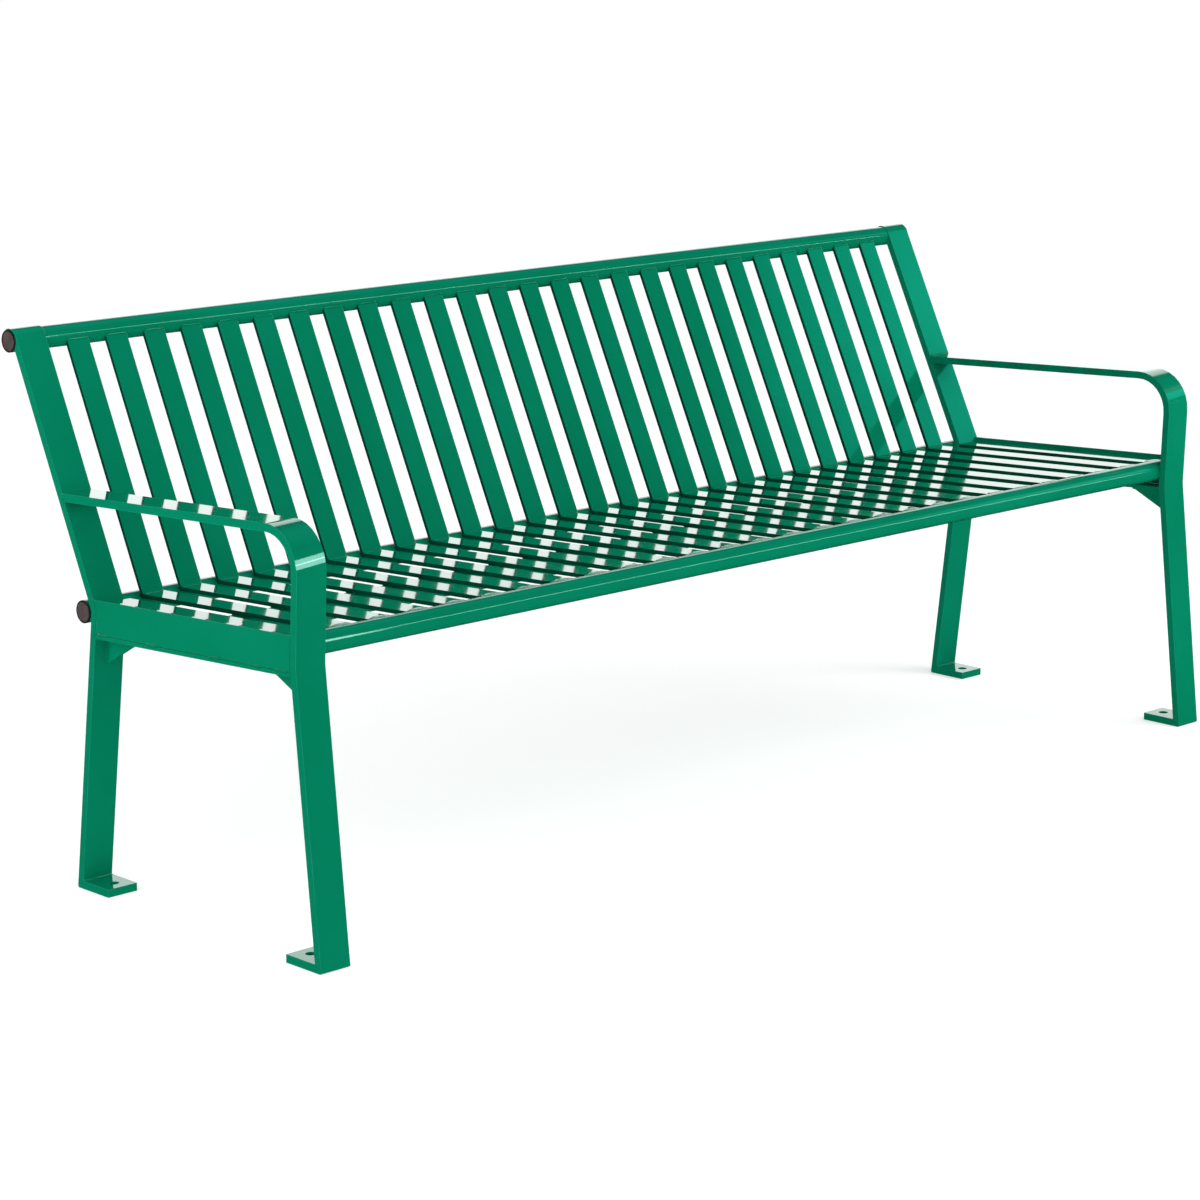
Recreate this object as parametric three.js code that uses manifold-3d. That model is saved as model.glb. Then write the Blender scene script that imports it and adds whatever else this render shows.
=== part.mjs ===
// Six-foot steel park bench with a slatted back, slatted seat and bent-bar arms.
// Millimetres, +Z up. The origin is on the ground, at the middle of the bounding box.
// Before the final shift, Y is measured back from the toes of the front feet and X from the middle.
import * as THREE from 'three';
import { mergeVertices } from 'three/addons/utils/BufferGeometryUtils.js';
import Module from 'manifold-3d';

const wasm = await Module();
wasm.setup();

// ---- driving dimensions ----
const CLEAR_LENGTH = 1828.8;   // between the end frames: 72 in
const BAR_WIDTH = 50.8;        // end frame bars: 2 in wide
const BAR_THICK = 12;
const LENGTH = CLEAR_LENGTH + 2 * BAR_WIDTH;
const GAP = 0.3;               // between touching pieces
const SEAT_TILT = 2.7;         // degrees, the seat and the arms rise towards the front
const BACK_LEAN = 25.6;        // degrees from vertical

const TUBE_R = 16.7;           // 1 in pipe, 33.4 outside
const TUBE_WALL = 3.4;
const COPE_R = TUBE_R + GAP;   // ends cut to fit round a tube
const LIP_R = TUBE_R + 1.5;    // the back bars' rolled tops, round the top tube

// Bends are [inside radius, outside radius].
const FOOT_LENGTH = 75;
const FRONT_HEEL_BEND = [1.5, 3];
const REAR_HEEL_BEND = [2, 3];
const REAR_HEEL_Y = 558.8;
const REAR_KNEE = [504.6, 418];      // rear face of the back bar, where it bends at the seat
const REAR_KNEE_BEND = [12, 24];
const FRONT_KNEE = [42.2, 412];      // front face of the front bar, where it bends at the seat
const FRONT_KNEE_BEND = [40, 52];
const ARM_CORNER = [32.9, 606.1];    // where the lines of the post and the arm top would meet
const ARM_BEND = [51, 63];
const ARM_REAR = [569.5, 580.4];     // the arm's top line, at the back bar

const BACK_RISE = 413.2;       // knee to the top tube, along the back
const LIP_END = 60;            // degrees, where a back bar's rolled top ends
const RAIL_HEIGHT = 435;       // front rail's axis
const MIDDLE_TUBE_Y = 289;

const SLAT_WIDTH = 38.1;       // 1 1/2 in flat bar
const SLAT_THICK = 6.35;
const SLAT_PITCH = 68.58;      // 2.7 in
const BACK_SLATS = 26;
const SEAT_SLATS = 28;
const SEAT_INSET = 1.2;        // slat tops, below the top of the front rail
const COPE_STEPS = 3;          // straight pieces in a slat's coped end

const APRON_THICK = 6.35;
const APRON_HEIGHT = 50.8;
const APRON_RISE = 6;          // apron top above the slats
const STRIP_THICK = 6.35;
const STRIP_WIDTH = 31.75;     // 1 1/4 in
const GUSSET_THICK = 6.35;
const GUSSET_LONG = 74;
const GUSSET_SHORT = 40;

const HOLE_R = 7.94;           // 5/8 in holes
const HOLE_SETBACK = 22;       // from the tip of a foot to its anchor hole

const CAP_THICK = 3;
const CAP_EDGE = 1;
const CAP_PLUG = 14;

const GREEN = 0x00805a;
const CAP_BROWN = 0x4a3f41;
const ARC_STEP = 12;           // degrees between the points of an arc
const HOLE_STEPS = 32;
const CAP_STEPS = 30;
const MERGE = 1e-4;            // points closer than this are one point

// Hidden weld pads, between the middle tube and the slats that are one piece with it.
const PAD_INSET = 4;           // in from the slat's sides
const PAD_LENGTH = 6;
const PAD_HEIGHT = 3;
const PAD_DROP = 0.5;          // the pad's middle, below the slat's underside

const rad = (degrees) => degrees * Math.PI / 180;

// ---- plane geometry, on [y, z] points ----
const add = (a, b, k = 1) => [a[0] + b[0] * k, a[1] + b[1] * k];
const unit = (a, b) => {
  const length = Math.hypot(b[0] - a[0], b[1] - a[1]);
  return [(b[0] - a[0]) / length, (b[1] - a[1]) / length];
};
const left = (d) => [-d[1], d[0]];
const polar = (centre, r, angle) => [centre[0] + r * Math.cos(angle), centre[1] + r * Math.sin(angle)];

function meet(p, d, q, e) {
  const k = ((q[0] - p[0]) * e[1] - (q[1] - p[1]) * e[0]) / (d[0] * e[1] - d[1] * e[0]);
  return add(p, d, k);
}

function arcPoints(centre, r, from, to) {
  const steps = Math.max(1, Math.ceil(Math.abs(to - from) / rad(ARC_STEP)));
  return Array.from({ length: steps + 1 }, (_, i) => polar(centre, r, from + (to - from) * i / steps));
}

// One side of a bent bar: the path moved left by `offset`, with its corners rounded.
function barSide(path, bends, offset, thick) {
  const lines = path.slice(1).map((p, i) => {
    const d = unit(path[i], p);
    return { d, start: add(path[i], left(d), offset), end: add(p, left(d), offset) };
  });
  const points = [lines[0].start];
  for (let i = 1; i < lines.length; i++) {
    const a = lines[i - 1];
    const b = lines[i];
    const turn = Math.atan2(a.d[0] * b.d[1] - a.d[1] * b.d[0], a.d[0] * b.d[0] + a.d[1] * b.d[1]);
    const side = Math.sign(turn);
    const outside = Math.sign(offset || -thick) === side ? 0 : 1;
    const r = bends[i - 1][outside];
    const corner = meet(a.start, a.d, b.start, b.d);
    const begin = add(corner, a.d, -r * Math.tan(Math.abs(turn) / 2));
    const centre = add(begin, left(a.d), side * r);
    const from = Math.atan2(begin[1] - centre[1], begin[0] - centre[0]);
    points.push(...arcPoints(centre, r, from, from + turn));
  }
  points.push(lines.at(-1).end);
  return points;
}

// ---- solids ----
function extrudeAlongX(outline, x0, x1, hole) {
  const shape = new THREE.Shape(outline.map(([y, z]) => new THREE.Vector2(y, z)));
  if (hole) shape.holes.push(hole);
  const settings = { depth: x1 - x0, bevelEnabled: false };
  const geometry = new THREE.ExtrudeGeometry(shape, settings);
  const axes = new THREE.Matrix4().makeBasis(
    new THREE.Vector3(0, 1, 0), new THREE.Vector3(0, 0, 1), new THREE.Vector3(1, 0, 0));
  return geometry.applyMatrix4(axes).translate(x0, 0, 0);
}

function toManifold(geometry) {
  const bare = geometry.index ? geometry.toNonIndexed() : geometry.clone();
  bare.deleteAttribute('normal');
  bare.deleteAttribute('uv');
  const merged = mergeVertices(bare, MERGE);
  return new wasm.Manifold(new wasm.Mesh({
    numProp: 3,
    vertProperties: new Float32Array(merged.attributes.position.array),
    triVerts: new Uint32Array(merged.index.array),
  }));
}

function fromManifold(solid) {
  const mesh = solid.getMesh();
  const geometry = new THREE.BufferGeometry();
  geometry.setAttribute('position', new THREE.BufferAttribute(mesh.vertProperties, 3));
  geometry.setIndex(new THREE.BufferAttribute(mesh.triVerts, 1));
  return geometry;
}

const paint = () => new THREE.MeshStandardMaterial({ color: GREEN, roughness: 0.22, metalness: 0 });
const plastic = () => new THREE.MeshStandardMaterial({ color: CAP_BROWN, roughness: 0.6, metalness: 0 });

const bench = new THREE.Group();

function addPart(name, geometry, material = paint()) {
  const mesh = new THREE.Mesh(geometry, material);
  mesh.name = name;
  bench.add(mesh);
  return mesh;
}

// Each end of the bench, where x(d) is d inside the bars' outer face.
const ends = [
  { side: 'left', x: (d) => -LENGTH / 2 + d },
  { side: 'right', x: (d) => LENGTH / 2 - d },
];
function endExtrude(end, outline, from, to) {
  const xs = [end.x(from), end.x(to)].sort((a, b) => a - b);
  return extrudeAlongX(outline, xs[0], xs[1]);
}

// ---- shared lines of the end frames ----
const seatBack = [Math.cos(rad(SEAT_TILT)), -Math.sin(rad(SEAT_TILT))];
const backUp = [Math.sin(rad(BACK_LEAN)), Math.cos(rad(BACK_LEAN))];
const rearLegUp = unit([REAR_HEEL_Y, 0], REAR_KNEE);
const frontLegUp = unit([0, 0], FRONT_KNEE);
const postUp = unit(FRONT_KNEE, ARM_CORNER);

const backFront = add(REAR_KNEE, left(backUp), BAR_THICK);
const rearLegFront = add(REAR_KNEE, left(rearLegUp), BAR_THICK);
const frontLegRear = add(FRONT_KNEE, left(frontLegUp), -BAR_THICK);
const postRear = add(FRONT_KNEE, left(postUp), -BAR_THICK);

// The tubes lie against the bars: in the knee, behind the post and in the rolled top.
const REAR_TUBE = meet(
  add(REAR_KNEE, left(backUp), -COPE_R), backUp,
  add(REAR_KNEE, left(rearLegUp), -COPE_R), rearLegUp);
const TOP_TUBE = add(add(backFront, backUp, BACK_RISE), left(backUp), -LIP_R);
const FRONT_RAIL = meet(add(postRear, left(postUp), -COPE_R), postUp, [0, RAIL_HEIGHT], [1, 0]);

function boltHole(end, y) {
  const through = 2 * BAR_THICK;
  const geometry = new THREE.CylinderGeometry(HOLE_R, HOLE_R, 2 * through, HOLE_STEPS);
  geometry.rotateX(Math.PI / 2).translate(end.x(BAR_WIDTH / 2), y, 0);
  return toManifold(geometry);
}

// ---- front bar: foot, leg, post, bend and arm in one bent flat bar ----
function frontBar(end) {
  const path = [[FOOT_LENGTH, 0], [0, 0], FRONT_KNEE, ARM_CORNER, ARM_REAR];
  const bends = [FRONT_HEEL_BEND, FRONT_KNEE_BEND, ARM_BEND];
  const outer = barSide(path, bends, 0, -BAR_THICK);
  const inner = barSide(path, bends, -BAR_THICK, -BAR_THICK);
  const armBack = unit(ARM_CORNER, ARM_REAR);
  const cut = add(backFront, left(backUp), GAP);
  outer[outer.length - 1] = meet(outer.at(-1), armBack, cut, backUp);
  inner[inner.length - 1] = meet(inner.at(-1), armBack, cut, backUp);
  const bar = toManifold(endExtrude(end, [...outer, ...inner.reverse()].reverse(), 0, BAR_WIDTH));
  return fromManifold(bar.subtract(boltHole(end, FOOT_LENGTH - HOLE_SETBACK)));
}

// ---- back bar: foot, leg and back upright, its top rolled over the top tube ----
function backBar(end) {
  const facing = rad(180 - BACK_LEAN);
  const lip = arcPoints(TOP_TUBE, LIP_R, facing, rad(LIP_END));
  const copeStart = facing + Math.acos((LIP_R - BAR_THICK) / COPE_R);
  const cope = arcPoints(TOP_TUBE, COPE_R, rad(LIP_END), copeStart);
  const tip = REAR_HEEL_Y - FOOT_LENGTH;
  const path = [[tip, 0], [REAR_HEEL_Y, 0], REAR_KNEE, cope.at(-1)];
  const bends = [REAR_HEEL_BEND, REAR_KNEE_BEND];
  const rear = barSide(path, bends, 0, BAR_THICK).slice(0, -1);
  const front = barSide(path, bends, BAR_THICK, BAR_THICK).slice(0, -1);
  const outline = [...rear, ...cope.reverse(), ...lip.reverse(), ...front.reverse()];
  const bar = toManifold(endExtrude(end, outline, 0, BAR_WIDTH));
  return fromManifold(bar.subtract(boltHole(end, tip + HOLE_SETBACK)));
}

// ---- side apron, the strip under it and the gussets ----
// Heights are measured at right angles to the seat, from the slats' top.
const seatTop = add(FRONT_RAIL, left(seatBack), TUBE_R - SEAT_INSET);
const level = (height) => add(seatTop, left(seatBack), height);
const postLine = add(postRear, left(postUp), -GAP);
const frontLegLine = add(frontLegRear, left(frontLegUp), -GAP);
const backLine = add(backFront, left(backUp), GAP);
const rearLegLine = add(rearLegFront, left(rearLegUp), GAP);
const atPost = (height) => meet(level(height), seatBack, postLine, postUp);
const atFrontLeg = (height) => meet(level(height), seatBack, frontLegLine, frontLegUp);
const atBack = (height) => meet(level(height), seatBack, backLine, backUp);
const atRearLeg = (height) => meet(level(height), seatBack, rearLegLine, rearLegUp);
const APRON_BOTTOM = APRON_RISE - APRON_HEIGHT;
const STRIP_TOP = APRON_BOTTOM - GAP;
const STRIP_BOTTOM = STRIP_TOP - STRIP_THICK;
const GUSSET_TOP = STRIP_BOTTOM - GAP;

function apron(end) {
  const rearKnee = meet(backLine, backUp, rearLegLine, rearLegUp);
  const frontKnee = meet(postLine, postUp, frontLegLine, frontLegUp);
  const outline = [
    atPost(APRON_RISE), frontKnee, atFrontLeg(APRON_BOTTOM),
    atRearLeg(APRON_BOTTOM), rearKnee, atBack(APRON_RISE),
  ];
  return endExtrude(end, outline, 0, APRON_THICK);
}

function strip(end) {
  const outline = [
    atFrontLeg(STRIP_TOP), atFrontLeg(STRIP_BOTTOM), atRearLeg(STRIP_BOTTOM), atRearLeg(STRIP_TOP),
  ];
  return endExtrude(end, outline, 0, STRIP_WIDTH);
}

function gusset(end, corner, along, legUp) {
  const outline = [corner, add(corner, along, GUSSET_LONG), add(corner, legUp, -GUSSET_SHORT)];
  const middle = BAR_WIDTH / 2;
  return endExtrude(end, outline, middle - GUSSET_THICK / 2, middle + GUSSET_THICK / 2);
}

// ---- tubes and their end caps ----
function tube(centre, x0, x1) {
  const outline = arcPoints(centre, TUBE_R, 0, 2 * Math.PI).slice(0, -1);
  const bore = new THREE.Path(arcPoints(centre, TUBE_R - TUBE_WALL, 0, 2 * Math.PI).slice(0, -1)
    .map(([y, z]) => new THREE.Vector2(y, z)));
  return extrudeAlongX(outline, x0, x1, bore);
}

function cap(end, centre) {
  const plugR = TUBE_R - TUBE_WALL - GAP;
  const profile = [
    [0, CAP_THICK], [TUBE_R - CAP_EDGE, CAP_THICK], [TUBE_R, CAP_THICK - CAP_EDGE], [TUBE_R, 0],
    [plugR, 0], [plugR, -CAP_PLUG], [0, -CAP_PLUG],
  ];
  const points = profile.reverse().map(([r, x]) => new THREE.Vector2(r, x));
  const geometry = new THREE.LatheGeometry(points, CAP_STEPS);
  const outward = end.side === 'left' ? 1 : -1;
  geometry.rotateZ(outward * Math.PI / 2);
  return geometry.translate(end.x(-GAP), centre[0], centre[1]);
}

// ---- slats ----
const slatX = (i, count) => (i - (count - 1) / 2) * SLAT_PITCH;
function slatExtrude(outline, x) {
  return extrudeAlongX(outline, x - SLAT_WIDTH / 2, x + SLAT_WIDTH / 2);
}

// The end of a slat that is cut round a tube, from one face to the other. The slat's line runs
// along `along` to the tube, and its two faces are at `near` and `far` from the tube's axis,
// measured along left(along).
function copedEnd(tubeAxis, along, near, far) {
  const from = Math.asin(near / COPE_R);
  const to = Math.asin(far / COPE_R);
  return Array.from({ length: COPE_STEPS + 1 }, (_, i) => {
    const angle = from + (to - from) * i / COPE_STEPS;
    return add(add(tubeAxis, along, -COPE_R * Math.cos(angle)), left(along), COPE_R * Math.sin(angle));
  });
}

// How far a point lies from a tube's axis, to the left of a line that runs along `along`.
const aside = (point, tubeAxis, along) => {
  const d = left(along);
  return (point[0] - tubeAxis[0]) * d[0] + (point[1] - tubeAxis[1]) * d[1];
};

// Back slats lie on the front of the rear tube, stand on the seat and reach up to the top tube.
function backSlat() {
  const face = add(REAR_KNEE, left(backUp), SLAT_THICK);
  const foot = level(GAP);
  const top = copedEnd(
    TOP_TUBE, backUp, aside(REAR_KNEE, TOP_TUBE, backUp), aside(face, TOP_TUBE, backUp));
  return [meet(face, backUp, foot, seatBack), meet(REAR_KNEE, backUp, foot, seatBack), ...top];
}

// Seat slats are flush with the top of the front rail and reach back to the rear tube.
const seatUnder = level(-SLAT_THICK);
const forward = [-seatBack[0], -seatBack[1]];
const seatFront = () => copedEnd(
  FRONT_RAIL, forward, aside(seatTop, FRONT_RAIL, forward), aside(seatUnder, FRONT_RAIL, forward));

function seatSlat() {
  const rear = copedEnd(
    REAR_TUBE, seatBack, aside(seatUnder, REAR_TUBE, seatBack), aside(seatTop, REAR_TUBE, seatBack));
  return [...seatFront(), ...rear];
}

// The two end slats stop at the back bars.
function endSeatSlat() {
  const knee = meet(backLine, backUp, rearLegLine, rearLegUp);
  return [...seatFront(), meet(seatUnder, seatBack, knee, [0, 1]), meet(seatTop, seatBack, knee, [0, 1])];
}

// ---- assembly ----
for (const end of ends) {
  addPart(`front_bar_${end.side}`, frontBar(end));
  addPart(`back_bar_${end.side}`, backBar(end));
  addPart(`side_apron_${end.side}`, apron(end));
  addPart(`apron_strip_${end.side}`, strip(end));
  addPart(`front_gusset_${end.side}`, gusset(end, atFrontLeg(GUSSET_TOP), seatBack, frontLegUp));
  addPart(`rear_gusset_${end.side}`, gusset(end, atRearLeg(GUSSET_TOP), forward, rearLegUp));
  addPart(`top_tube_cap_${end.side}`, cap(end, TOP_TUBE), plastic());
  addPart(`rear_tube_cap_${end.side}`, cap(end, REAR_TUBE), plastic());
}
const insideApron = LENGTH / 2 - APRON_THICK - GAP;
const middleTop = add(seatTop, seatBack, (MIDDLE_TUBE_Y - seatTop[0]) / seatBack[0]);
const middleTube = add(middleTop, left(seatBack), -SLAT_THICK - GAP - TUBE_R);
addPart('top_tube', tube(TOP_TUBE, -LENGTH / 2, LENGTH / 2));
addPart('rear_seat_tube', tube(REAR_TUBE, -LENGTH / 2, LENGTH / 2));
addPart('front_seat_rail', tube(FRONT_RAIL, -insideApron, insideApron));

for (let i = 0; i < BACK_SLATS; i++) {
  addPart(`back_slat_${String(i + 1).padStart(2, '0')}`, slatExtrude(backSlat(), slatX(i, BACK_SLATS)));
}

// Every second seat slat is joined to the middle tube by its weld, and the others are separate.
let welded = toManifold(tube(middleTube, -insideApron, insideApron));
for (let i = 0; i < SEAT_SLATS; i++) {
  const isEnd = i === 0 || i === SEAT_SLATS - 1;
  const x = slatX(i, SEAT_SLATS);
  const geometry = slatExtrude(isEnd ? endSeatSlat() : seatSlat(), x);
  if (i % 2 === 0) {
    addPart(`seat_slat_${String(i + 1).padStart(2, '0')}`, geometry);
  } else {
    const pad = new THREE.BoxGeometry(SLAT_WIDTH - 2 * PAD_INSET, PAD_LENGTH, PAD_HEIGHT);
    const padMiddle = add(middleTop, left(seatBack), -SLAT_THICK - PAD_DROP);
    pad.rotateX(-rad(SEAT_TILT)).translate(x, ...padMiddle);
    welded = welded.add(toManifold(geometry)).add(toManifold(pad));
  }
}
addPart('middle_tube_with_welded_slats', fromManifold(welded));

// The origin moves to the middle of the depth, from the front feet to the rolled tops.
bench.position.set(0, -(TOP_TUBE[0] + TUBE_R) / 2, 0);

export default bench;
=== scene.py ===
import math
import random

import bpy
from mathutils import Matrix, Vector


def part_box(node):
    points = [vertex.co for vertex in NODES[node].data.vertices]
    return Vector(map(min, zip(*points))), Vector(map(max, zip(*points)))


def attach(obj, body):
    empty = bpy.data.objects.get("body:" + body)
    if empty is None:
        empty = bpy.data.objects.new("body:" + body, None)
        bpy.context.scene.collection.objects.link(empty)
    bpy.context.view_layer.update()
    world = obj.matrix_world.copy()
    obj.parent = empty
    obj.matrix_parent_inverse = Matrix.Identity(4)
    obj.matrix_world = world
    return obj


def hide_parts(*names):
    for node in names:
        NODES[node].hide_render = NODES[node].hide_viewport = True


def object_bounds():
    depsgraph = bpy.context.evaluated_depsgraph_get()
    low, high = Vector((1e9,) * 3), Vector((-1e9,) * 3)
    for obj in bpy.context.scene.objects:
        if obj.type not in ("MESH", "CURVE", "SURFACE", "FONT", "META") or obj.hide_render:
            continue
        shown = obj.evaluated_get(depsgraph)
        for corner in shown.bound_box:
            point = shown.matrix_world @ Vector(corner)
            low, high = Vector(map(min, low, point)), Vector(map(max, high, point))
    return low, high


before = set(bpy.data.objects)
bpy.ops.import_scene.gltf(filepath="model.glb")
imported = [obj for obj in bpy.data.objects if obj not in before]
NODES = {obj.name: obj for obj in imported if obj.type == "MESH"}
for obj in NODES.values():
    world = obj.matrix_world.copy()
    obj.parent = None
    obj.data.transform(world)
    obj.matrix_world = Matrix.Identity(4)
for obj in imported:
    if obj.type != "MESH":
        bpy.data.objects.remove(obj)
cad_low, cad_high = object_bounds()
ENDS = ("left", "right")
random.seed(7)


# ---------------------------------------------------------------- materials

NOISE_RANGE = (0.3, 0.7)


def node(tree, kind, **values):
    """A new node with some of its properties set."""
    made = tree.nodes.new(kind)
    for key, value in values.items():
        setattr(made, key, value)
    return made


def noise(tree, coords, scale, detail=2.0, roughness=0.5):
    made = node(tree, "ShaderNodeTexNoise")
    made.inputs["Scale"].default_value = scale
    made.inputs["Detail"].default_value = detail
    made.inputs["Roughness"].default_value = roughness
    tree.links.new(coords, made.inputs["Vector"])
    return made.outputs["Fac"]


def ramp(tree, value, start, end, low=0.0, high=1.0, smooth=False):
    """low where the value is at start, high where it is at end, and a ramp between them."""
    made = node(tree, "ShaderNodeMapRange", interpolation_type="SMOOTHSTEP" if smooth else "LINEAR")
    made.inputs["From Min"].default_value = start
    made.inputs["From Max"].default_value = end
    made.inputs["To Min"].default_value = low
    made.inputs["To Max"].default_value = high
    tree.links.new(value, made.inputs["Value"])
    return made.outputs["Result"]


def spread(tree, value, low, high):
    """A noise value, moved from its usual range to low..high."""
    return ramp(tree, value, *NOISE_RANGE, low, high)


def bump(tree, height, distance, strength, after=None):
    """A normal that follows a height. after is another bump that this one lies on."""
    made = node(tree, "ShaderNodeBump")
    made.inputs["Strength"].default_value = strength
    made.inputs["Distance"].default_value = distance
    tree.links.new(height, made.inputs["Height"])
    if after is not None:
        tree.links.new(after, made.inputs["Normal"])
    return made.outputs["Normal"]


def mix_colour(tree, factor, a, b):
    """A mix of a and b, each of them a colour or the output of a node."""
    made = node(tree, "ShaderNodeMix", data_type="RGBA")
    for socket, value in zip((made.inputs["A"], made.inputs["B"]), (a, b)):
        if isinstance(value, tuple):
            socket.default_value = (*value, 1)
        else:
            tree.links.new(value, socket)
    tree.links.new(factor, made.inputs["Factor"])
    return made.outputs["Result"]


def maths(tree, operation, a, b=0.0):
    """The result of a sum on a and b, each of them a number or the output of a node."""
    made = node(tree, "ShaderNodeMath", operation=operation)
    for socket, value in zip(made.inputs, (a, b)):
        if isinstance(value, (int, float)):
            socket.default_value = value
        else:
            tree.links.new(value, socket)
    return made.outputs["Value"]


def material(name):
    """A new material, with its node tree, its shader, and coordinates in the object's metres."""
    made = bpy.data.materials.new(name)
    made.use_nodes = True
    tree = made.node_tree
    shader = tree.nodes["Principled BSDF"]
    coords = node(tree, "ShaderNodeTexCoord").outputs["Object"]
    return made, tree, shader, coords


def edge_mask(tree, radius):
    """1 on sharp outside and inside edges, 0 on flat ground: how far the rounded normal turns."""
    rounded = node(tree, "ShaderNodeBevel", samples=EDGE_SAMPLES)
    rounded.inputs["Radius"].default_value = radius
    plain = node(tree, "ShaderNodeNewGeometry")
    turn = node(tree, "ShaderNodeVectorMath", operation="DOT_PRODUCT")
    tree.links.new(rounded.outputs["Normal"], turn.inputs[0])
    tree.links.new(plain.outputs["Normal"], turn.inputs[1])
    return ramp(tree, turn.outputs["Value"], *EDGE_TURN)


def painted_side_shade_mask(tree):
    """1 on faces that look along X, which are the sides of a slat, and 0 on all others: where shade
    is painted.
    """
    facing = node(tree, "ShaderNodeSeparateXYZ")
    tree.links.new(node(tree, "ShaderNodeNewGeometry").outputs["Normal"], facing.inputs["Vector"])
    return ramp(tree, maths(tree, "ABSOLUTE", facing.outputs["X"]), *SIDE_TURN, smooth=True)


def green_paint(name, deep, light, peel=1.0, painted_side_shade=False):
    """Thick glossy green coating: slow drifts in tone, paler on the edges (partly thinner coating,
    partly a painted highlight), orange peel, and a clear wet surface. peel scales the depth of the
    surface's waves. The last argument paints shade on the faces that look along X: dark and dull."""
    made, tree, shader, coords = material(name)
    drift = spread(tree, noise(tree, coords, 3.5, 3), 0, 1)
    body = mix_colour(tree, drift, deep, light)
    # Paler edges: partly a thinner coating, partly a painted highlight.
    worn = maths(tree, "MULTIPLY", edge_mask(tree, EDGE_REACH),
                 spread(tree, noise(tree, coords, 30, 3), 0.1, 0.4))
    colour = mix_colour(tree, worn, body, EDGE_WEAR_AND_HIGHLIGHT_COLOUR)
    shader.inputs["Coat Weight"].default_value = COAT
    # Painted shade: the faces that look along X, the sides of the slats, get a dark colour and less
    # gloss and coat.
    if painted_side_shade:
        side = painted_side_shade_mask(tree)
        colour = mix_colour(tree, maths(tree, "MULTIPLY", side, SIDE_SHADE), colour, SIDE_SHADE_COLOUR)
        rest = maths(tree, "SUBTRACT", 1.0, side)
        tree.links.new(maths(tree, "MULTIPLY", rest, GLOSS), shader.inputs["Specular IOR Level"])
        tree.links.new(maths(tree, "MULTIPLY", rest, COAT), shader.inputs["Coat Weight"])
    tree.links.new(colour, shader.inputs["Base Color"])
    smear = spread(tree, noise(tree, coords, 24, 4), 0.05, 0.09)
    tree.links.new(smear, shader.inputs["Roughness"])
    sag = bump(tree, noise(tree, coords, 22, 1), 0.00022 * peel, 0.4)
    skin = bump(tree, noise(tree, coords, 420, 2), 0.000012 * peel, 0.5, after=sag)
    tree.links.new(skin, shader.inputs["Normal"])
    shader.inputs["IOR"].default_value = 1.5
    shader.inputs["Specular Tint"].default_value = (0.2, 1, 0.85, 1)
    shader.inputs["Coat Roughness"].default_value = 0.03
    shader.inputs["Coat IOR"].default_value = 1.5
    return made


def cap_plastic(name, dark, light, roughness):
    """Moulded brown-black plastic with a fine grain and a slightly worn face."""
    made, tree, shader, coords = material(name)
    worn = spread(tree, noise(tree, coords, 90, 4, 0.6), 0, 1)
    tree.links.new(mix_colour(tree, worn, dark, light), shader.inputs["Base Color"])
    rough = spread(tree, noise(tree, coords, 300, 3), roughness - CAP_UNEVEN, roughness + CAP_UNEVEN)
    tree.links.new(rough, shader.inputs["Roughness"])
    grain = bump(tree, noise(tree, coords, 1600, 2), 0.00006, 0.7)
    tree.links.new(grain, shader.inputs["Normal"])
    return made


# The edge mask: how far it reaches, the rays it takes, and the cosines where it starts and is full.
EDGE_REACH = 0.0014
EDGE_SAMPLES = 6
EDGE_TURN = (0.995, 0.90)
# The colour of the paler edges: thinner coating and a painted highlight.
EDGE_WEAR_AND_HIGHLIGHT_COLOUR = (0.05, 0.42, 0.28)
# The share of a normal along X where a slat's side starts and is full, and the colour and depth of
# the shade painted on it.
SIDE_TURN = (0.45, 0.9)
SIDE_SHADE_COLOUR = (0.0004, 0.020, 0.011)
SIDE_SHADE = 0.85
GLOSS = 0.5
COAT = 0.5
CAP_UNEVEN = 0.08
PAINT_TONES = (0.0004, 0.178, 0.088), (0.0012, 0.208, 0.110)
PAINT = green_paint("green_coating", *PAINT_TONES)
# The slats' coating, with painted shade on their sides.
SLAT_PAINT_WITH_SIDE_SHADE = green_paint("green_coating_on_slats_with_painted_side_shade", *PAINT_TONES, painted_side_shade=True)
WELD_TONES = (0.0004, 0.150, 0.072), (0.0010, 0.190, 0.098)
WELD_PAINT = green_paint("green_coating_on_welds", *WELD_TONES, peel=2.5)
CAP_FACE = cap_plastic("cap_face_plastic", (0.050, 0.037, 0.036), (0.080, 0.060, 0.058), 0.5)
CAP_RIM = cap_plastic("cap_rim_plastic", (0.006, 0.005, 0.005), (0.014, 0.012, 0.012), 0.42)


# ---------------------------------------------------------------- rounded edges of the CAD nodes

def smooth_group():
    """A modifier's node group that shades a mesh smooth."""
    group = bpy.data.node_groups.new("shade_smooth", "GeometryNodeTree")
    group.interface.new_socket("Geometry", in_out="INPUT", socket_type="NodeSocketGeometry")
    group.interface.new_socket("Geometry", in_out="OUTPUT", socket_type="NodeSocketGeometry")
    start = group.nodes.new("NodeGroupInput")
    end = group.nodes.new("NodeGroupOutput")
    smooth = group.nodes.new("GeometryNodeSetShadeSmooth")
    group.links.new(start.outputs[0], smooth.inputs["Geometry"])
    group.links.new(smooth.outputs["Geometry"], end.inputs[0])
    return group


SMOOTH = smooth_group()
MERGE = 0.00001
FLAT_ANGLE = math.radians(1)
EDGE_ANGLE = math.radians(35)
FLAT_FACES_FIRST = 100


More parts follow.
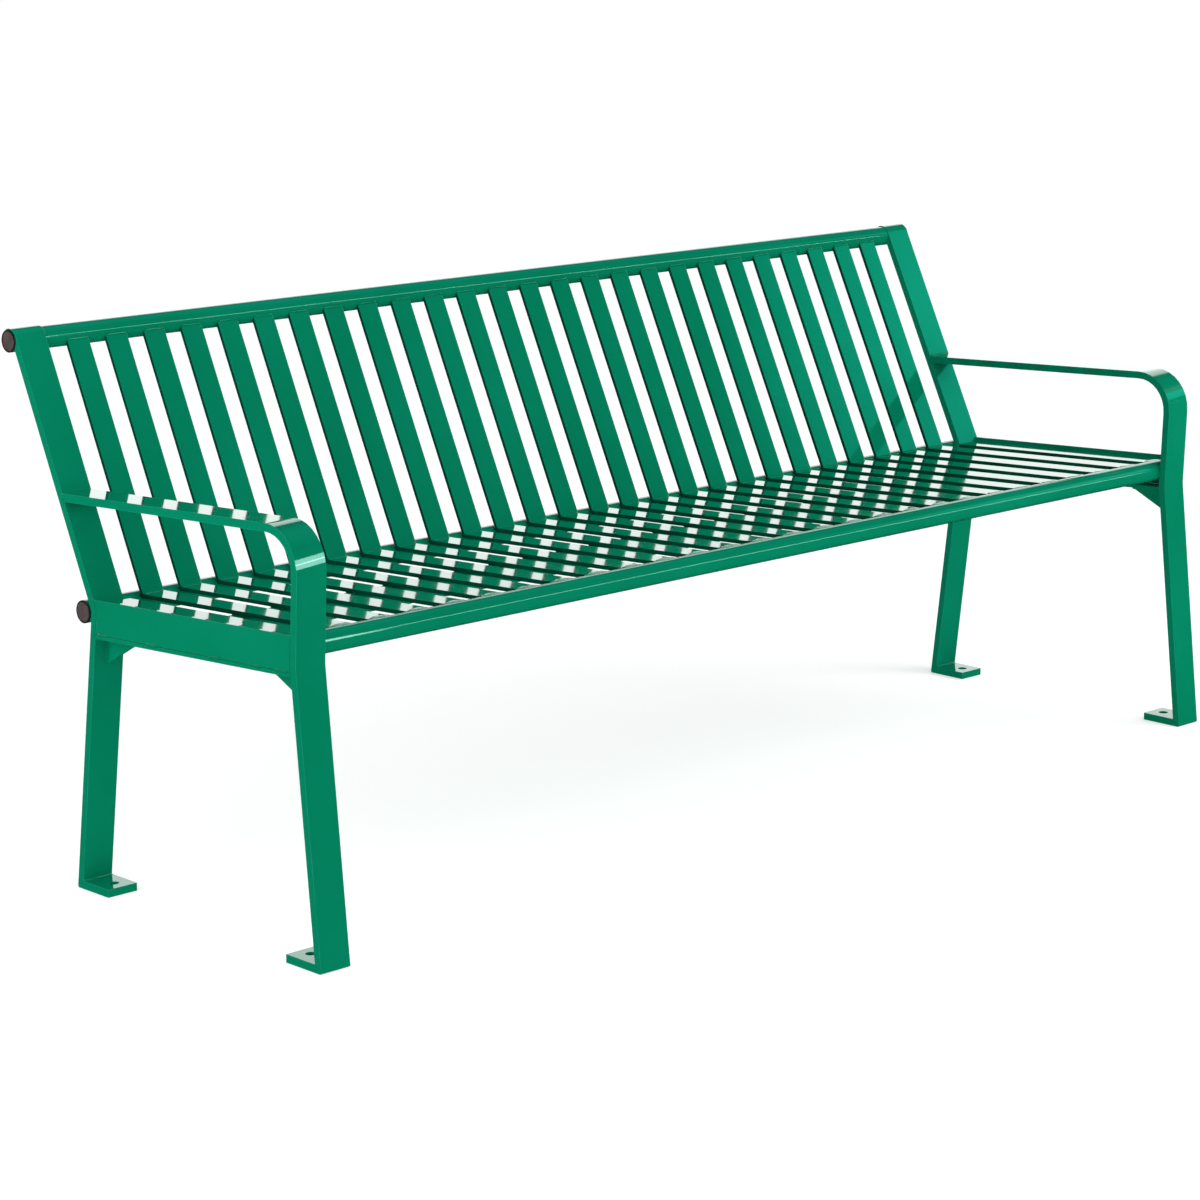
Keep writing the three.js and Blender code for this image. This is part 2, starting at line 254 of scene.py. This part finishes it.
def finish_node(name, radius, segments=3, merge_flats=True):
    """Paint a CAD node, and round its edges with modifiers that leave its own mesh alone."""
    piece = NODES[name]
    piece.data.materials[0] = SLAT_PAINT_WITH_SIDE_SHADE if "slat" in name else PAINT
    weld = piece.modifiers.new("weld", "WELD")
    weld.merge_threshold = MERGE
    if merge_flats:
        flat = piece.modifiers.new("flat", "DECIMATE")
        flat.decimate_type = "DISSOLVE"
        flat.angle_limit = FLAT_ANGLE
    edges = piece.modifiers.new("edges", "BEVEL")
    edges.width = radius
    edges.segments = segments
    edges.limit_method = "ANGLE"
    edges.angle_limit = EDGE_ANGLE
    smooth = piece.modifiers.new("smooth", "NODES")
    smooth.node_group = SMOOTH
    normals = piece.modifiers.new("normals", "WEIGHTED_NORMAL")
    normals.keep_sharp = False
    normals.weight = FLAT_FACES_FIRST


# The radius of the rounded edges.
BAR_EDGE = 0.0016
SLAT_EDGE = 0.0017
PLATE_EDGE = 0.0009
TUBE_EDGE = 0.0004
for name in NODES:
    if "cap" in name:
        continue
    if "slat" in name:
        finish_node(name, SLAT_EDGE)
    elif "bar" in name:
        finish_node(name, BAR_EDGE, merge_flats=False)
    elif "tube" in name or "rail" in name:
        finish_node(name, TUBE_EDGE, segments=2)
    else:
        finish_node(name, PLATE_EDGE)


# ---------------------------------------------------------------- weld beads and caps

def add_piece(name, vertices, faces, surface, slot):
    mesh = bpy.data.meshes.new(name)
    mesh.from_pydata(vertices, [], faces)
    mesh.materials.append(surface)
    mesh.update()
    mesh.polygons.foreach_set("use_smooth", [True] * len(mesh.polygons))
    piece = bpy.data.objects.new(name, mesh)
    bpy.context.scene.collection.objects.link(piece)
    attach(piece, "root")
    return piece


# A bead's sides, its least rings, the size of its ends, and how uneven its scales are.
BEAD_SIDES = 10
BEAD_RINGS = 6
BEAD_END = 0.06
BEAD_UNEVEN = 0.3


def bead(path, outs, width, height, pitch=0.0042, ripple=0.12, step=0.0014, taper=0.5):
    """The vertices and faces of one weld bead, which runs along a straight or bent path.

    outs is the way the bead faces: one vector, or one for each point of the path. The bead is
    width wide, and stands height proud; its lower half is sunk into the metal. ripple is the depth
    of the scales that the welder leaves, one every pitch. step is the space between rings, and
    taper the part of the width over which each end rounds off."""
    path = [Vector(p) for p in path]
    if isinstance(outs, Vector):
        outs = [outs] * len(path)
    lengths = [0.0]
    for a, b in zip(path, path[1:]):
        lengths.append(lengths[-1] + (b - a).length)
    total = lengths[-1]
    count = max(BEAD_RINGS, round(total / step))
    phase = random.uniform(0, math.tau)
    vertices, faces = [], []
    leg = 0
    for i in range(count + 1):
        s = total * i / count
        while leg < len(path) - 2 and s > lengths[leg + 1]:
            leg += 1
        share = min(1.0, (s - lengths[leg]) / (lengths[leg + 1] - lengths[leg]))
        centre = path[leg].lerp(path[leg + 1], share)
        out = outs[leg].lerp(outs[leg + 1], share).normalized()
        along = (path[leg + 1] - path[leg]).normalized()
        across = along.cross(out).normalized()
        from_end = min(1.0, max(0.0, min(s, total - s)) / (taper * min(width, total)))
        size = BEAD_END + (1 - BEAD_END) * math.sqrt(1 - (1 - from_end) ** 2)
        wave = 1 + ripple * math.cos(math.tau * s / pitch + phase)
        if ripple:
            wave += random.uniform(-BEAD_UNEVEN, BEAD_UNEVEN) * ripple
        for j in range(BEAD_SIDES):
            angle = math.tau * j / BEAD_SIDES
            lift = height * math.sin(angle) * size * wave
            side = width / 2 * math.cos(angle) * size * (1 + (wave - 1) / 2)
            bow = -ripple * width * max(0.0, math.sin(angle)) * from_end
            vertices.append(centre + across * side + out * lift + along * bow)
    for i in range(count):
        for j in range(BEAD_SIDES):
            a = i * BEAD_SIDES + j
            b = i * BEAD_SIDES + (j + 1) % BEAD_SIDES
            faces.append((a, b, b + BEAD_SIDES, a + BEAD_SIDES))
    faces.append(tuple(reversed(range(BEAD_SIDES))))
    faces.append(tuple(range(count * BEAD_SIDES, (count + 1) * BEAD_SIDES)))
    return vertices, faces


def join(parts):
    """One list of vertices and one of faces for several beads."""
    vertices, faces = [], []
    for more_vertices, more_faces in parts:
        base = len(vertices)
        vertices.extend(more_vertices)
        faces.extend(tuple(base + i for i in face) for face in more_faces)
    return vertices, faces


def add_welds(name, parts):
    add_piece(name, *join(parts), WELD_PAINT, "green_paint")


def centre_of(name):
    low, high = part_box(name)
    return (low + high) / 2


def yz(y, z):
    return Vector((0, y, z))


def at_x(x, point):
    return Vector((x, point.y, point.z))


def radial(axis, point):
    return (point - axis).normalized()


def turned(axis, angle):
    """The point of a tube's surface at an angle round its axis."""
    return axis + TUBE_R * yz(math.cos(angle), math.sin(angle))


def corners(name):
    """A CAD node's distinct corners, seen along X, as (0, y, z) points."""
    places = sorted({(round(v.co.y, 6), round(v.co.z, 6)) for v in NODES[name].data.vertices})
    return [yz(*place) for place in places]


def along_x(centre, point, out, room, cover=1.0, **size):
    """A bead along X at the (0, y, z) point, over a share (cover) of the room round X = centre."""
    half = Vector((room * cover / 2, 0, 0))
    middle = at_x(centre, point)
    return bead([middle - half, middle + half], out.normalized(), **size)


rail_low, rail_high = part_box("front_seat_rail")
TUBE_R = (rail_high.z - rail_low.z) / 2
SAME_PLACE = 0.0004
RAIL = yz(*centre_of("front_seat_rail").yz)
REAR = yz(*centre_of("rear_seat_tube").yz)
TOP = yz(*centre_of("top_tube").yz)

back_low, back_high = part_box("back_slat_01")
SLAT_W = back_high.x - back_low.x
BACK_X = [centre_of(n).x for n in sorted(NODES) if n.startswith("back_slat")]
PITCH = BACK_X[1] - BACK_X[0]
SEAT_X = [BACK_X[0] - PITCH] + BACK_X + [BACK_X[-1] + PITCH]

# The corners of a seat slat and a back slat, and the directions of their faces.
seat_corners = corners("seat_slat_03")
SEAT_FRONT_TOP = min(seat_corners, key=lambda c: c.y)
SEAT_FRONT_UNDER = min((c for c in seat_corners if c.y < 0), key=lambda c: c.z)
SEAT_REAR_TOP = max(seat_corners, key=lambda c: c.y)
SEAT_REAR_UNDER = min(seat_corners, key=lambda c: c.z)
back_corners = corners("back_slat_01")
BACK_FOOT = min(back_corners, key=lambda c: c.y)
BACK_HEEL = min(back_corners, key=lambda c: c.z)
BACK_FRONT_TOP = max(back_corners, key=lambda c: c.z)
BACK_REAR_TOP = max(back_corners, key=lambda c: c.y)
SEAT_DIR = (SEAT_REAR_TOP - SEAT_FRONT_TOP).normalized()
SEAT_OUT = yz(-SEAT_DIR.z, SEAT_DIR.y)
BACK_DIR = (BACK_FRONT_TOP - BACK_FOOT).normalized()
BACK_OUT = yz(-BACK_DIR.z, BACK_DIR.y)

MIDDLE_NODE = "middle_tube_with_welded_slats"
middle_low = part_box(MIDDLE_NODE)[0]
middle_under = [v.co.y for v in NODES[MIDDLE_NODE].data.vertices
                if abs(v.co.z - middle_low.z) < SAME_PLACE]
MIDDLE = yz(sum(middle_under) / len(middle_under), middle_low.z + TUBE_R)

# The beads across the slats: the share of the slat's width that they cover, and their size.
OVER_RAIL = {"cover": 0.96, "width": 0.017, "height": 0.0019, "ripple": 0.0, "taper": 0.9}
UNDER_SLAT = {"cover": 0.9, "width": 0.006, "height": 0.0022}
ON_MIDDLE = {"cover": 0.9, "width": 0.0075, "height": 0.0022, "step": 0.002}
SLAT_FOOT = {"cover": 0.94, "width": 0.006, "height": 0.0020}
SLAT_HEEL = {"cover": 0.94, "width": 0.008, "height": 0.0024}
SLAT_TOP = {"cover": 0.92, "width": 0.0045, "height": 0.0013}
CREVICE_REACH = 0.0075
CREVICE_TILT = 0.6
HEEL_TILT = 0.5


def slat_welds():
    """Beads where the slats meet the rail, the tubes and each other."""
    front, rear, under, back = [], [], [], []
    heel = (BACK_HEEL + SEAT_REAR_TOP) / 2
    under_front = radial(RAIL, SEAT_FRONT_UNDER) - SEAT_OUT
    under_rear = radial(REAR, SEAT_REAR_UNDER) - SEAT_OUT
    behind_heel = radial(REAR, heel) - BACK_OUT * HEEL_TILT
    for x in SEAT_X:
        front.append(along_x(x, SEAT_FRONT_TOP, SEAT_OUT, SLAT_W, **OVER_RAIL))
        under.append(along_x(x, SEAT_FRONT_UNDER, under_front, SLAT_W, **UNDER_SLAT))
        for side in (-1, 1):
            crevice = MIDDLE + SEAT_OUT * TUBE_R + SEAT_DIR * (side * CREVICE_REACH)
            out = SEAT_DIR * side - SEAT_OUT * CREVICE_TILT
            under.append(along_x(x, crevice, out, SLAT_W, **ON_MIDDLE))
    for x in BACK_X:
        under.append(along_x(x, SEAT_REAR_UNDER, under_rear, SLAT_W, **UNDER_SLAT))
        rear.append(along_x(x, BACK_FOOT, SEAT_OUT + BACK_OUT, SLAT_W, **SLAT_FOOT))
        rear.append(along_x(x, heel, behind_heel, SLAT_W, **SLAT_HEEL))
        for corner, out, size in ((BACK_FRONT_TOP, BACK_OUT, SLAT_TOP),
                                  (BACK_REAR_TOP, -BACK_OUT, UNDER_SLAT)):
            back.append(along_x(x, corner, radial(TOP, corner) + out, SLAT_W, **size))
    add_welds("welds_seat_slats_to_rail", front)
    add_welds("welds_under_seat_slats", under)
    add_welds("welds_back_slats_to_seat", rear)
    add_welds("welds_back_slats_to_top_tube", back)


# The stitch welds along the strip: their places between the two end ones, and their length.
STITCH_Y = (-0.2227, -0.1327, 0.0113)
STITCH_LENGTH = 0.026
STITCH_FROM_END = 0.018
# The beads of an end frame.
SEAM = {"width": 0.0042, "height": 0.0006, "ripple": 0.2}
STITCH = {"width": 0.005, "height": 0.0011, "ripple": 0.25}
PLATE_FILLET = {"width": 0.006, "height": 0.0022}
STRIP_FILLET = {"width": 0.0075, "height": 0.0028}
GUSSET_FILLET = {"width": 0.006, "height": 0.0024}
STRIP_END = {"cover": 0.94, "width": 0.006, "height": 0.0022}
ARM_TOP = {"cover": 0.96, "width": 0.006, "height": 0.0022}
ARM_UNDER = {"cover": 0.96, "width": 0.007, "height": 0.0026}
ROLL_SIDE = {"width": 0.0035, "height": 0.0012, "ripple": 0.15}
ROLL_END = {"cover": 0.96, "width": 0.005, "height": 0.0014}
KNEE = {"cover": 0.96, "width": 0.008, "height": 0.0028}
RAIL_END = {"width": 0.008, "height": 0.0028}
TUBE_RING = {"width": 0.0065, "height": 0.0026}
FOOT_CORNER = {"cover": 0.94, "width": 0.0045, "height": 0.0012, "ripple": 0.2, "pitch": 0.0055}
KNEE_REACH = 0.009
TILT = 0.4
# The bead beside the rolled top of a back bar: degrees round the top tube, from behind its crown,
# over the front, to its underside.
ROLL_FROM = 60
ROLL_SWEEP = 163
ROLL_STEPS = 16
RING_STEPS = 24
FOOT_THICK = 0.012
FOOT_SLACK = 0.0005
FOOT_TOP = 0.02
FOOT_BEAD_IN = 0.001
FOOT_BEAD_UP = 0.0008
TOWARDS_BACK = yz(1, 0)


def run(x, points, out, **size):
    """A bead through (0, y, z) points, in the plane at x."""
    return bead([at_x(x, p) for p in points], out.normalized(), **size)


def on_line(a, b, y):
    """The point of the line from a to b that has this y."""
    return a.lerp(b, (y - a.y) / (b.y - a.y))


def end_frame_welds(end, sign):
    """Beads of one end frame. sign is the way out, along X."""
    out_x = Vector((sign, 0, 0))
    inner, outer = sorted((corner.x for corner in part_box("front_bar_" + end)), key=abs)
    plate_inner = min((corner.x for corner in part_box("side_apron_" + end)), key=abs)
    add_welds("welds_side_apron_" + end, apron_welds(end, out_x, outer, plate_inner))
    add_welds("welds_gussets_" + end, gusset_welds(end))
    add_welds("welds_end_frame_" + end, frame_welds(end, out_x, inner, outer, plate_inner))


def apron_welds(end, out_x, outer, plate_inner):
    """Beads between the apron and the bars, and stitches between the apron and its strip."""
    apron = corners("side_apron_" + end)
    strip = corners("apron_strip_" + end)
    front = sorted((c for c in apron if c.y < 0), key=lambda c: -c.z)
    rear = sorted((c for c in apron if c.y > 0), key=lambda c: -c.z)
    strip_front = min((c for c in strip if c.y < 0), key=lambda c: c.z)
    strip_rear = min((c for c in strip if c.y > 0), key=lambda c: c.z)
    seams = []
    for points, away in ((front + [strip_front], TOWARDS_BACK), (rear + [strip_rear], -TOWARDS_BACK)):
        seams.append(run(outer, points, out_x, **SEAM))
        seams.append(run(plate_inner, points[:3], away - out_x, **PLATE_FILLET))
    groove_front, groove_rear = front[-1], rear[-1]
    for y in (groove_front.y + STITCH_FROM_END, *STITCH_Y, groove_rear.y - STITCH_FROM_END):
        a = on_line(groove_front, groove_rear, y - STITCH_LENGTH / 2)
        b = on_line(groove_front, groove_rear, y + STITCH_LENGTH / 2)
        seams.append(run(outer, (a, b), out_x, **STITCH))
        seams.append(run(plate_inner, (a, b), SEAT_OUT - out_x, **STRIP_FILLET))
    return seams


def gusset_welds(end):
    """Beads round the two gussets, and across the ends of the strip above them."""
    gussets = []
    for which, away in (("front_gusset_", TOWARDS_BACK), ("rear_gusset_", -TOWARDS_BACK)):
        low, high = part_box(which + end)
        points = corners(which + end)
        tip = min(points, key=lambda c: c.z)
        root, reach = sorted((c for c in points if c is not tip), key=lambda c: (c - tip).length)
        for x, side in ((low.x, Vector((-1, 0, 0))), (high.x, Vector((1, 0, 0)))):
            gussets.append(run(x, (root, reach), side - SEAT_OUT, **GUSSET_FILLET))
            gussets.append(run(x, (root, tip), side + away, **GUSSET_FILLET))
    strip = corners("apron_strip_" + end)
    strip_front = min((c for c in strip if c.y < 0), key=lambda c: c.z)
    strip_rear = min((c for c in strip if c.y > 0), key=lambda c: c.z)
    strip_low, strip_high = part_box("apron_strip_" + end)
    strip_x = (strip_low.x + strip_high.x) / 2
    strip_width = strip_high.x - strip_low.x
    for corner, away in ((strip_front, TOWARDS_BACK), (strip_rear, -TOWARDS_BACK)):
        gussets.append(along_x(strip_x, corner, away - SEAT_OUT, strip_width, **STRIP_END))
    return gussets


def frame_welds(end, out_x, inner, outer, plate_inner):
    """Beads of the arm, the rolled top, the tubes and rail, and the feet."""
    bar_middle = (outer + inner) / 2
    bar_width = abs(outer - inner)
    arm = sorted(corners("front_bar_" + end), key=lambda c: -c.y)[:2]
    arm_top, arm_under = sorted(arm, key=lambda c: -c.z)
    joints = [
        along_x(bar_middle, arm_top, SEAT_OUT + BACK_OUT, bar_width, **ARM_TOP),
        along_x(bar_middle, arm_under, BACK_OUT - SEAT_OUT, bar_width, **ARM_UNDER),
        run(outer, (arm_under, arm_top), out_x, **SEAM),
        run(inner, (arm_under, arm_top), -out_x, **SEAM),
    ]
    turns = [math.radians(ROLL_FROM + ROLL_SWEEP * k / ROLL_STEPS) for k in range(ROLL_STEPS + 1)]
    roll = [turned(TOP, turn) for turn in turns]
    joints.append(bead([at_x(inner, p) for p in roll], [radial(TOP, p) - out_x for p in roll],
                       **ROLL_SIDE))
    joints.append(along_x(bar_middle, roll[0], radial(TOP, roll[0]), bar_width, **ROLL_END))

    # The rear tube in the knee of the back bar, above and below.
    behind_foot = max(c.y for c in corners("back_bar_" + end) if c.z < FOOT_TOP)
    leg_up = (REAR - yz(behind_foot, 0)).normalized()
    leg_out = yz(-leg_up.z, leg_up.y)
    for side, up, out in ((1, BACK_DIR, BACK_OUT), (-1, leg_up, leg_out)):
        crevice = REAR + out * TUBE_R + up * (side * KNEE_REACH)
        joints.append(along_x(bar_middle, crevice, up * side - out * TILT, bar_width, **KNEE))

    # The rail behind the post, and the rings of the rail and the middle tube on the apron.
    rail_x = (inner + plate_inner) / 2
    for side in (-1, 1):
        joints.append(along_x(rail_x, RAIL + yz(-TUBE_R, side * KNEE_REACH), yz(TILT, side),
                              abs(inner - plate_inner), **RAIL_END))
    for axis in (RAIL, MIDDLE):
        ring = [turned(axis, math.tau * k / RING_STEPS) for k in range(RING_STEPS + 1)]
        joints.append(bead([at_x(plate_inner, p) for p in ring],
                           [radial(axis, p) - out_x for p in ring], **TUBE_RING))

    # The inside corners of the feet.
    for bar, away in (("front_bar_", TOWARDS_BACK), ("back_bar_", -TOWARDS_BACK)):
        flat = [c for c in corners(bar + end) if abs(c.z - FOOT_THICK) < FOOT_SLACK]
        root = max(flat, key=lambda c: -c.y * away.y)
        joints.append(along_x(bar_middle, root - away * FOOT_BEAD_IN + yz(0, FOOT_BEAD_UP),
                              away + yz(0, 1), bar_width, **FOOT_CORNER))
    return joints


slat_welds()
for end, sign in zip(ENDS, (-1, 1)):
    end_frame_welds(end, sign)


# The caps: rounded rim, domed face, the dark ring groove round it, and the chamfer of the plug.
# CAP_CENTRE is the radius of the face's flat middle, in steps between its rings.
LATHE_SIDES = 48
CAP_EDGE = 0.0008
CAP_DOME = 0.0006
CAP_DOME_POWER = 0.7
CAP_RINGS = 7
CAP_CENTRE = 0.6
RIM_WIDTH = 0.0030
GROOVE_DEEP = 0.0005
GROOVE_STEPS = (0.0012, 0.0008, 0.0003)
PLUG_CHAMFER = 0.0004
UNDER_RIM = 0.0003


def lathe(profile, outward, origin, dark):
    """A turned piece about the X axis. profile lists (distance outward, radius) from the plug's
    end to the face; the faces of the rings listed in dark get the second material."""
    vertices, faces, kinds = [], [], []
    for along, radius in profile:
        for j in range(LATHE_SIDES):
            angle = math.tau * j / LATHE_SIDES
            vertices.append(origin + Vector((outward * along, radius * math.cos(angle),
                                             radius * math.sin(angle))))
    for i in range(len(profile) - 1):
        for j in range(LATHE_SIDES):
            a = i * LATHE_SIDES + j
            b = i * LATHE_SIDES + (j + 1) % LATHE_SIDES
            ring = (a, b, b + LATHE_SIDES, a + LATHE_SIDES)
            faces.append(ring if outward < 0 else tuple(reversed(ring)))
            kinds.append(int(i in dark))
    last = (len(profile) - 1) * LATHE_SIDES
    ends = (tuple(range(LATHE_SIDES)), tuple(range(last, last + LATHE_SIDES)))
    flip = outward < 0
    faces.append(tuple(reversed(ends[0])) if flip else ends[0])
    faces.append(ends[1] if flip else tuple(reversed(ends[1])))
    kinds.extend((1, 0))
    return vertices, faces, kinds


def arc(centre_along, centre_radius, size, start, end, count=4):
    """Points of a cap's profile round an arc, from the start angle to the end one in degrees."""
    turns = (math.radians(start + (end - start) * k / count) for k in range(count + 1))
    return [(centre_along + size * math.cos(t), centre_radius + size * math.sin(t)) for t in turns]


def add_cap(name, outward):
    """A pressed-in end cap: plug, thin black rim, and a brown face in a shallow ring groove."""
    low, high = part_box(name)
    radius = (high.z - low.z) / 2
    length = high.x - low.x
    inner_x = low.x if outward > 0 else high.x
    origin = at_x(inner_x, (low + high) / 2)
    places = [(abs(v.co.x - inner_x), (v.co - origin).yz.length) for v in NODES[name].data.vertices]
    plug = max(off_axis for along, off_axis in places if along < SAME_PLACE / 2)
    seat = max(along for along, off_axis in places
               if off_axis < plug + UNDER_RIM and along < length - SAME_PLACE)
    face = length - CAP_DOME
    floor_of_groove = face - GROOVE_DEEP
    crown = radius - RIM_WIDTH
    profile = [(0.0, plug - PLUG_CHAMFER), (PLUG_CHAMFER, plug), (seat, plug)]
    first_dark = len(profile) - 1
    profile += [(seat, radius - UNDER_RIM)]
    profile += arc(seat + UNDER_RIM, radius - UNDER_RIM, UNDER_RIM, 180, 90, 2)[1:]
    profile += arc(face - CAP_EDGE, radius - CAP_EDGE, CAP_EDGE, 90, 0)
    profile += [(along, crown + step)
                for along, step in zip((face, floor_of_groove, floor_of_groove), GROOVE_STEPS)]
    last_dark = len(profile) - 1
    for k in range(CAP_RINGS + 1):
        share = 1 - k / (CAP_RINGS + CAP_CENTRE)
        profile.append((face + CAP_DOME * (1 - share ** 2) ** CAP_DOME_POWER, crown * share))
    vertices, faces, kinds = lathe(profile, outward, origin, range(first_dark, last_dark))
    cap = add_piece(name + "_moulded", vertices, faces, CAP_FACE, "cap_plastic")
    cap.data.materials.append(CAP_RIM)
    cap.data.polygons.foreach_set("material_index", kinds)
    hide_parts(name)


for end, outward in zip(ENDS, (-1, 1)):
    for tube in ("top_tube_cap_", "rear_tube_cap_"):
        add_cap(tube + end, outward)


# ---------------------------------------------------------------- floor, lights, camera

FLOOR_SIZE = 150
FLOOR_DROP = 0.0005
FLOOR_TONES = (0.80, 0.80, 0.80), (0.82, 0.82, 0.82)
FLOOR_GLOW = 0.50

# What the gloss sees: a white backdrop behind the bench, tinted soft boxes, and near darkness.
# Each soft box has a direction, the degrees to its edge and its core, and a strength.
BACKDROP = 1.9
BACKDROP_WAY = (0.7, 0.7, 0)
BACKDROP_EDGE, BACKDROP_CORE = 80, 50
BACKDROP_HEIGHTS = (0.0, 0.5, 0.06)
DARKNESS = 0.008
SOFT_TINT = (0.05, 1, 0.8, 1)
SOFT_BOXES = (
    ((0.1, 0.1, 1), 50, 15, 0.6),
    ((0.80, -0.47, 0.36), 9, 3, 1.5),
)

# What lights the paint: an even sky, and more of it from in front and above.
EVEN = 0.20
FILL = 0.92
FRONT_ABOVE = (0.1, -0.72, 0.68)
FILL_EDGE, FILL_CORE = 110, 10


def add_floor():
    """A wide pale floor that glows a little, and that the gloss doesn't see."""
    size = FLOOR_SIZE
    made, tree, shader, coords = material("pale_floor")
    tone = spread(tree, noise(tree, coords, 60, 3), 0, 1)
    tree.links.new(mix_colour(tree, tone, *FLOOR_TONES), shader.inputs["Base Color"])
    shader.inputs["Emission Color"].default_value = (1, 1, 1, 1)
    shader.inputs["Emission Strength"].default_value = FLOOR_GLOW
    shader.inputs["Roughness"].default_value = 0.9
    shader.inputs["Specular IOR Level"].default_value = 0.0
    mesh = bpy.data.meshes.new("floor")
    mesh.from_pydata([(-size, -size, 0), (size, -size, 0), (size, size, 0), (-size, size, 0)], [],
                     [(0, 1, 2, 3)])
    mesh.materials.append(made)
    floor = bpy.data.objects.new("floor", mesh)
    floor.location.z = cad_low.z - FLOOR_DROP
    floor.visible_glossy = False
    bpy.context.scene.collection.objects.link(floor)


def glow(tree, direction, towards, edge, core):
    """1 within core degrees of a direction in the sky, falling smoothly to 0 at edge degrees."""
    dot = node(tree, "ShaderNodeVectorMath", operation="DOT_PRODUCT")
    tree.links.new(direction, dot.inputs[0])
    dot.inputs[1].default_value = Vector(towards).normalized()
    return ramp(tree, dot.outputs["Value"], math.cos(math.radians(edge)),
                math.cos(math.radians(core)), smooth=True)


def band(tree, height, low, high, soft):
    """1 where a direction's height is between low and high, falling to 0 over soft."""
    above = ramp(tree, height, low - soft, low, smooth=True)
    below = ramp(tree, height, high + soft, high, smooth=True)
    return maths(tree, "MULTIPLY", above, below)


def add_world():
    """Soft white light for the paint, and for the gloss a studio: a bright backdrop, a soft box
    above and one to the right, and darkness in front and below."""
    world = bpy.data.worlds.new("studio")
    bpy.context.scene.world = world
    world.use_nodes = True
    tree = world.node_tree
    tree.nodes.clear()
    direction = node(tree, "ShaderNodeTexCoord").outputs["Generated"]
    parts = node(tree, "ShaderNodeSeparateXYZ")
    tree.links.new(direction, parts.inputs["Vector"])
    backdrop = maths(tree, "MULTIPLY", band(tree, parts.outputs["Z"], *BACKDROP_HEIGHTS),
                     glow(tree, direction, BACKDROP_WAY, BACKDROP_EDGE, BACKDROP_CORE))
    white = maths(tree, "ADD", maths(tree, "MULTIPLY", backdrop, BACKDROP), DARKNESS)
    boxes = 0.0
    for towards, edge, core, strength in SOFT_BOXES:
        patch = glow(tree, direction, towards, edge, core)
        boxes = maths(tree, "ADD", boxes, maths(tree, "MULTIPLY", patch, strength))
    gloss = node(tree, "ShaderNodeBackground")
    tree.links.new(white, gloss.inputs["Strength"])
    soft = node(tree, "ShaderNodeBackground")
    soft.inputs["Color"].default_value = SOFT_TINT
    tree.links.new(boxes, soft.inputs["Strength"])
    studio = node(tree, "ShaderNodeAddShader")
    tree.links.new(gloss.outputs["Background"], studio.inputs[0])
    tree.links.new(soft.outputs["Background"], studio.inputs[1])
    fill = maths(tree, "MULTIPLY", glow(tree, direction, FRONT_ABOVE, FILL_EDGE, FILL_CORE), FILL)
    even = node(tree, "ShaderNodeBackground")
    tree.links.new(maths(tree, "ADD", fill, EVEN), even.inputs["Strength"])
    path = node(tree, "ShaderNodeLightPath")
    mix = node(tree, "ShaderNodeMixShader")
    tree.links.new(path.outputs["Is Glossy Ray"], mix.inputs["Fac"])
    tree.links.new(even.outputs["Background"], mix.inputs[1])
    tree.links.new(studio.outputs["Shader"], mix.inputs[2])
    out = node(tree, "ShaderNodeOutputWorld")
    tree.links.new(mix.outputs["Shader"], out.inputs["Surface"])


def add_light(name, place, target, size, power, glossy=True):
    """An area light at a place, facing a target. With glossy off, reflections don't show it."""
    data = bpy.data.lights.new(name, "AREA")
    data.shape = "RECTANGLE"
    data.size, data.size_y = size
    data.energy = power
    light = bpy.data.objects.new(name, data)
    bpy.context.scene.collection.objects.link(light)
    light.location = place
    light.rotation_euler = (Vector(target) - Vector(place)).to_track_quat("-Z", "Y").to_euler()
    light.visible_camera = False
    light.visible_glossy = glossy


CAMERA_PLACE = (-3.77075, -3.84768, 1.49618)
CAMERA_RIGHT = (0.72395, -0.689837, -0.004565)
CAMERA_AHEAD = (0.679573, 0.714286, -0.16726)
SENSOR = 36
LENS = 104.299
SHIFT_UP = -0.14167
CLIP = (0.1, 500)


def add_camera():
    data = bpy.data.cameras.new("camera")
    data.sensor_width = SENSOR
    data.lens = LENS
    data.shift_y = SHIFT_UP
    data.clip_start, data.clip_end = CLIP
    camera = bpy.data.objects.new("camera", data)
    ahead = Vector(CAMERA_AHEAD).normalized()
    up = Vector(CAMERA_RIGHT).normalized().cross(ahead).normalized()
    right = ahead.cross(up)
    rotation = Matrix((right, up, -ahead)).transposed().to_4x4()
    camera.matrix_world = Matrix.Translation(CAMERA_PLACE) @ rotation
    bpy.context.scene.collection.objects.link(camera)
    bpy.context.scene.camera = camera


add_floor()
add_world()
add_light("left", (-2.2, 0.0, 0.8), (-0.9, 0, 0.4), (1.2, 1.2), 13, glossy=False)
add_light("right", (2.4, -2.0, 1.9), (0.7, 0.2, 0.6), (1.5, 1.5), 25, glossy=False)
add_light("strip", (3.6, -4.4, 1.65), (3.6, 0, 1.65), (5.2, 0.16), 30)
add_light("near_box", (0.75, -2.6, 1.15), (-0.94, -0.3, 0.55), (0.5, 1.0), 11)
add_camera()

view = bpy.context.scene.view_settings
view.view_transform = "Standard"
view.look = "None"
